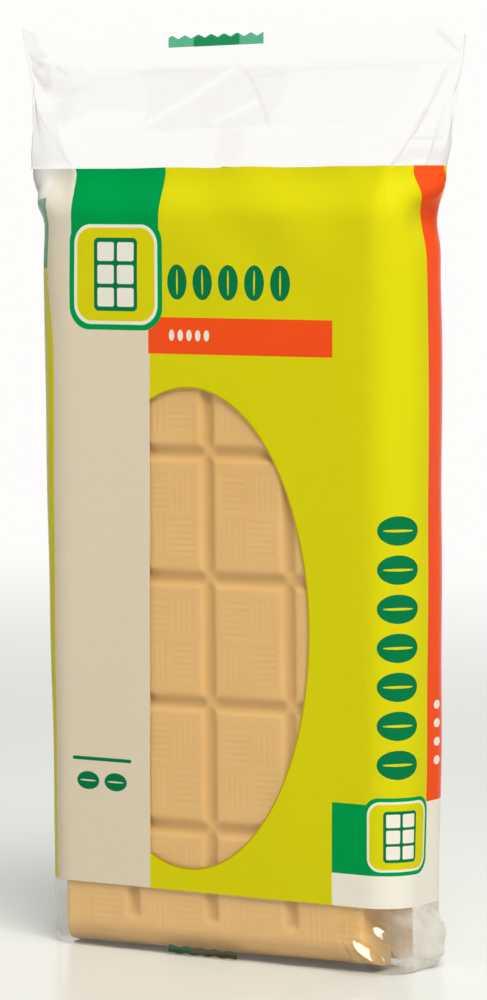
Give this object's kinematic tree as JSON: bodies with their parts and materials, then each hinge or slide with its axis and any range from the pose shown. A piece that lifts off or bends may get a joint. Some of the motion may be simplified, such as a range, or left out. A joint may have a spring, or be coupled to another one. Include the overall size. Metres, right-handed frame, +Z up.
{
  "type": "chocolate bar",
  "caption": "Upright sealed film pack of thick white chocolate tablets, with an oval window, clear foot and flat zigzag-cut top seal.",
  "frame": {"origin": "centre of the bounding box at the flat base", "axes": "+Z up to the seal, +X along the pack's width, and the window faces -Y"},
  "size_m": [0.1284, 0.027, 0.2325],
  "materials": {
    "pack_film": "glossy printed film, yellow-green with a pale band, green blocks and orange stripes",
    "clear_film": "clear thin polypropylene film, creased at the seals",
    "white_chocolate": "satin ivory white chocolate, moulded in grooved pieces with a basketwork of fine lines"
  },
  "bodies": {
    "root": {"pack": "pack_film"}
  },
  "joints": []
}
